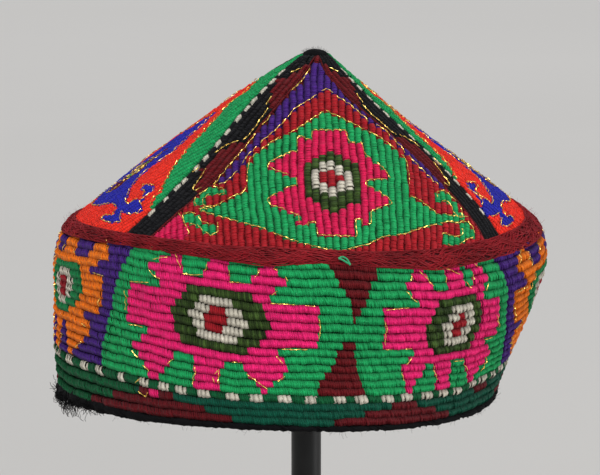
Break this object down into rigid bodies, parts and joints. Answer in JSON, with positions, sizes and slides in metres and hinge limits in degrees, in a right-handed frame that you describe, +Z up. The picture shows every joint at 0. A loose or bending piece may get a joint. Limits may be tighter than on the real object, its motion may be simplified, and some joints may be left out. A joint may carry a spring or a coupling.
{
  "type": "tubeteika skullcap on a plain display stand",
  "caption": "Pointed four-gore skullcap of ribbed, patterned embroidery with a plaited seam, open inside, held up on a plain round post stand.",
  "frame": {"origin": "middle of the underside of the stand's base", "axes": "+Z up, -Y is the hat's front, +X is to the right seen from the front"},
  "size_m": [0.1964, 0.1962, 0.2368],
  "materials": {
    "band_wool": "matt wool stitches over cord ribs, on green",
    "front_back_gore": "matt wool stitches over cord ribs, crimson and green",
    "side_gore": "matt wool stitches over cord ribs, orange-red and blue",
    "ridge_wool": "matt black and maroon wool stitches",
    "tip_felt": "matted black wool",
    "plait_wool": "fuzzy maroon wool plait",
    "hem_cloth": "worn black cotton edge",
    "stand_steel": "satin black paint",
    "rest_wood": "matt black paint"
  },
  "bodies": {
    "root": {"band": "band_wool", "crown_panel_front": "front_back_gore", "crown_panel_right": "side_gore", "crown_panel_back": "front_back_gore", "crown_panel_left": "side_gore", "ridge_strip_front_left": "ridge_wool", "ridge_strip_front_right": "ridge_wool", "ridge_strip_back_right": "ridge_wool", "ridge_strip_back_left": "ridge_wool", "apex_cap": "tip_felt", "seam_braid": "plait_wool", "hem_binding": "hem_cloth", "stand_base": "stand_steel", "stand_post": "stand_steel", "stand_rest": "rest_wood"}
  },
  "joints": []
}
